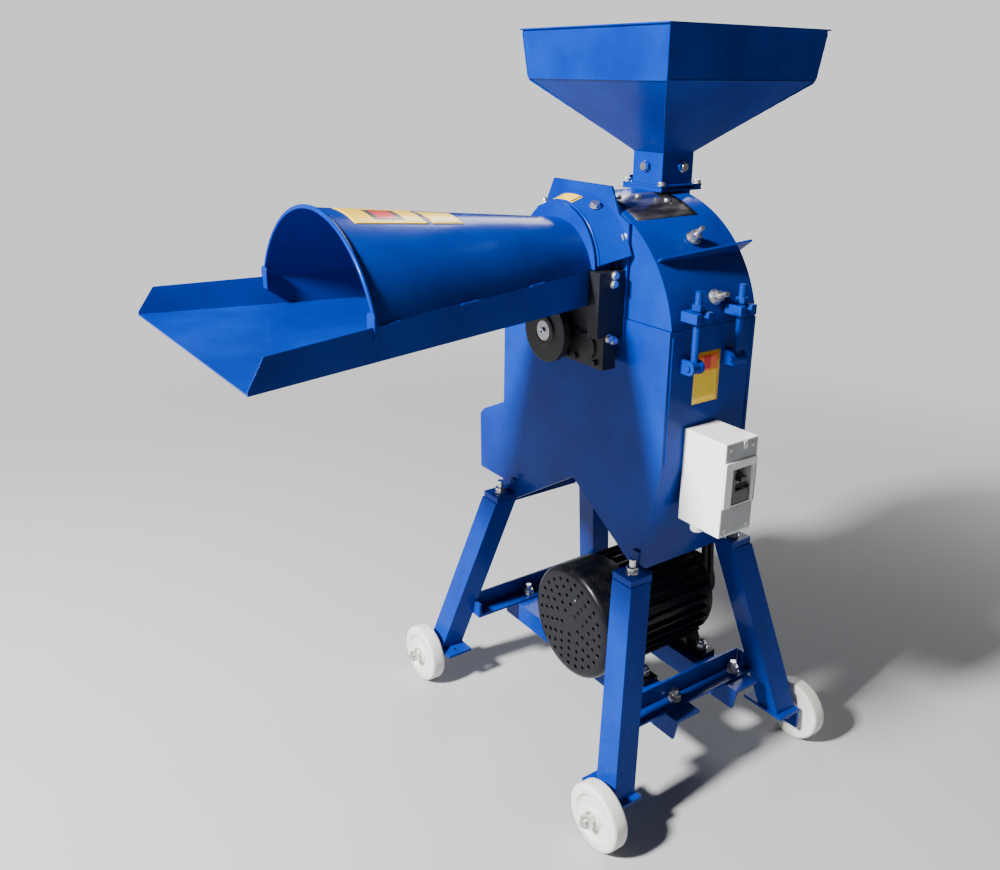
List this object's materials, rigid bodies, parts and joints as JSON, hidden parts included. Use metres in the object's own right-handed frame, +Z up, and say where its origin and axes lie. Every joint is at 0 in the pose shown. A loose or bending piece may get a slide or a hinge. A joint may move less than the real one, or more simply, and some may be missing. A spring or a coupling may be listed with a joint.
{
  "type": "hammer mill",
  "caption": "Chaff cutter and hammer mill with a covered feed chute, hinged arched cover, square grain hopper, side discharge hood and belt drive from a motor between wheeled legs.",
  "frame": {"origin": "on the floor under the middle of the machine's box", "axes": "+X along the rotor from the feed chute to the pulleys, +Y to the discharge side, away from the switch and latches, +Z up"},
  "size_m": [0.918, 0.588, 1.127],
  "materials": {
    "blue_paint": "gloss",
    "dark_paint": "satin",
    "bare_steel": "satin",
    "cast_iron": "matte",
    "box_plastic": "gloss",
    "lever_plastic": "gloss",
    "belt_rubber": "matte",
    "wheel_plastic": "satin"
  },
  "bodies": {
    "machine": {"front_plate": "blue_paint", "back_plate": "blue_paint", "right_wall": "blue_paint", "left_wall": "blue_paint", "discharge_floor": "blue_paint", "discharge_hood": "blue_paint", "sieve": "bare_steel", "feed_mount_plate": "blue_paint", "throat_sides": "blue_paint", "throat_hood": "blue_paint", "shear_plate": "bare_steel", "gear_housing": "dark_paint", "front_bearing": "dark_paint", "back_bearing": "dark_paint", "feed_tray": "blue_paint", "chute_cover": "blue_paint", "leg_front_right": "blue_paint", "leg_front_left": "blue_paint", "leg_back_right": "blue_paint", "leg_back_left": "blue_paint", "side_bars": "blue_paint", "motor_rails": "blue_paint", "frame_bolts": "bare_steel", "axle_bolts": "bare_steel", "hinge_pin": "bare_steel", "motor_body": "dark_paint", "motor_fan_cover": "dark_paint", "motor_end_shield": "dark_paint", "switch_box": "box_plastic", "switch_box_front": "box_plastic", "drive_belts": "belt_rubber"},
    "cover": {"cover_shell": "blue_paint", "keeper_blocks": "blue_paint", "breaker_plate": "bare_steel", "cover_bolts": "bare_steel", "inlet_box": "blue_paint", "hopper": "blue_paint"},
    "gate": {"gate": "bare_steel"},
    "rotor": {"main_shaft": "bare_steel", "knife_disc": "bare_steel", "hammer_plates": "bare_steel", "rotor_pulley": "cast_iron", "shaft_hub": "dark_paint"},
    "hammer_set_1": {"hammers_1": "bare_steel"},
    "hammer_set_2": {"hammers_2": "bare_steel"},
    "hammer_set_3": {"hammers_3": "bare_steel"},
    "hammer_set_4": {"hammers_4": "bare_steel"},
    "front_latch": {"swing_bolt_front": "blue_paint", "latch_nut_front": "blue_paint"},
    "back_latch": {"swing_bolt_back": "blue_paint", "latch_nut_back": "blue_paint"},
    "lower_roller": {"lower_roller": "bare_steel"},
    "upper_roller": {"upper_roller": "bare_steel"},
    "motor_rotor": {"motor_shaft": "bare_steel", "motor_pulley": "cast_iron"},
    "lever": {"switch_lever": "lever_plastic"},
    "front_right_wheel": {"wheel_front_right": "wheel_plastic"},
    "front_left_wheel": {"wheel_front_left": "wheel_plastic"},
    "back_right_wheel": {"wheel_back_right": "wheel_plastic"},
    "back_left_wheel": {"wheel_back_left": "wheel_plastic"}
  },
  "joints": [
    {"name": "cover_hinge", "type": "hinge", "parent": "machine", "child": "cover", "pos_m": [0.21025, 0.203, 0.738], "axis": [-1, 0, 0], "range_deg": [0, 95]},
    {"name": "gate_slide", "type": "slide", "parent": "cover", "child": "gate", "axis": [0, 1, 0], "range_m": [0, 0.056]},
    {"name": "rotor_spin", "type": "hinge", "parent": "machine", "child": "rotor", "pos_m": [0.21025, 0, 0.706], "axis": [1, 0, 0], "continuous": true},
    {"name": "hammer_swing_1", "type": "hinge", "parent": "rotor", "child": "hammer_set_1", "pos_m": [0.23025, -0.06223, 0.76823], "axis": [1, 0, 0], "range_deg": [-60, 60]},
    {"name": "hammer_swing_2", "type": "hinge", "parent": "rotor", "child": "hammer_set_2", "pos_m": [0.23025, -0.06223, 0.64377], "axis": [1, 0, 0], "range_deg": [-60, 60]},
    {"name": "hammer_swing_3", "type": "hinge", "parent": "rotor", "child": "hammer_set_3", "pos_m": [0.23025, 0.06223, 0.64377], "axis": [1, 0, 0], "range_deg": [-60, 60]},
    {"name": "hammer_swing_4", "type": "hinge", "parent": "rotor", "child": "hammer_set_4", "pos_m": [0.23025, 0.06223, 0.76823], "axis": [1, 0, 0], "range_deg": [-60, 60]},
    {"name": "front_latch_swing", "type": "hinge", "parent": "machine", "child": "front_latch", "pos_m": [0.15825, -0.207, 0.686], "axis": [1, 0, 0], "range_deg": [0, 100]},
    {"name": "back_latch_swing", "type": "hinge", "parent": "machine", "child": "back_latch", "pos_m": [0.24325, -0.207, 0.686], "axis": [1, 0, 0], "range_deg": [0, 100]},
    {"name": "motor_spin", "type": "hinge", "parent": "machine", "child": "motor_rotor", "pos_m": [0.26025, -0.044, 0.226], "axis": [1, 0, 0], "continuous": true},
    {"name": "lower_roller_spin", "type": "hinge", "parent": "machine", "child": "lower_roller", "pos_m": [0.09825, 0, 0.744], "axis": [0, 1, 0], "continuous": true},
    {"name": "upper_roller_spin", "type": "hinge", "parent": "machine", "child": "upper_roller", "pos_m": [0.09825, 0, 0.782], "axis": [0, 1, 0], "continuous": true},
    {"name": "lever_throw", "type": "hinge", "parent": "machine", "child": "lever", "pos_m": [0.20425, -0.257, 0.53], "axis": [1, 0, 0], "range_deg": [0, 40]},
    {"name": "front_right_wheel_spin", "type": "hinge", "parent": "machine", "child": "front_right_wheel", "pos_m": [-0.00725, -0.244, 0.05], "axis": [1, 0, 0], "continuous": true},
    {"name": "front_left_wheel_spin", "type": "hinge", "parent": "machine", "child": "front_left_wheel", "pos_m": [-0.00725, 0.244, 0.05], "axis": [1, 0, 0], "continuous": true},
    {"name": "back_right_wheel_spin", "type": "hinge", "parent": "machine", "child": "back_right_wheel", "pos_m": [0.42775, -0.244, 0.05], "axis": [1, 0, 0], "continuous": true},
    {"name": "back_left_wheel_spin", "type": "hinge", "parent": "machine", "child": "back_left_wheel", "pos_m": [0.42775, 0.244, 0.05], "axis": [1, 0, 0], "continuous": true}
  ],
  "couplings": [
    {"joint": "motor_spin", "follows": "rotor_spin", "ratio": 1.25},
    {"joint": "lower_roller_spin", "follows": "rotor_spin", "ratio": 0.05},
    {"joint": "upper_roller_spin", "follows": "rotor_spin", "ratio": -0.05}
  ]
}
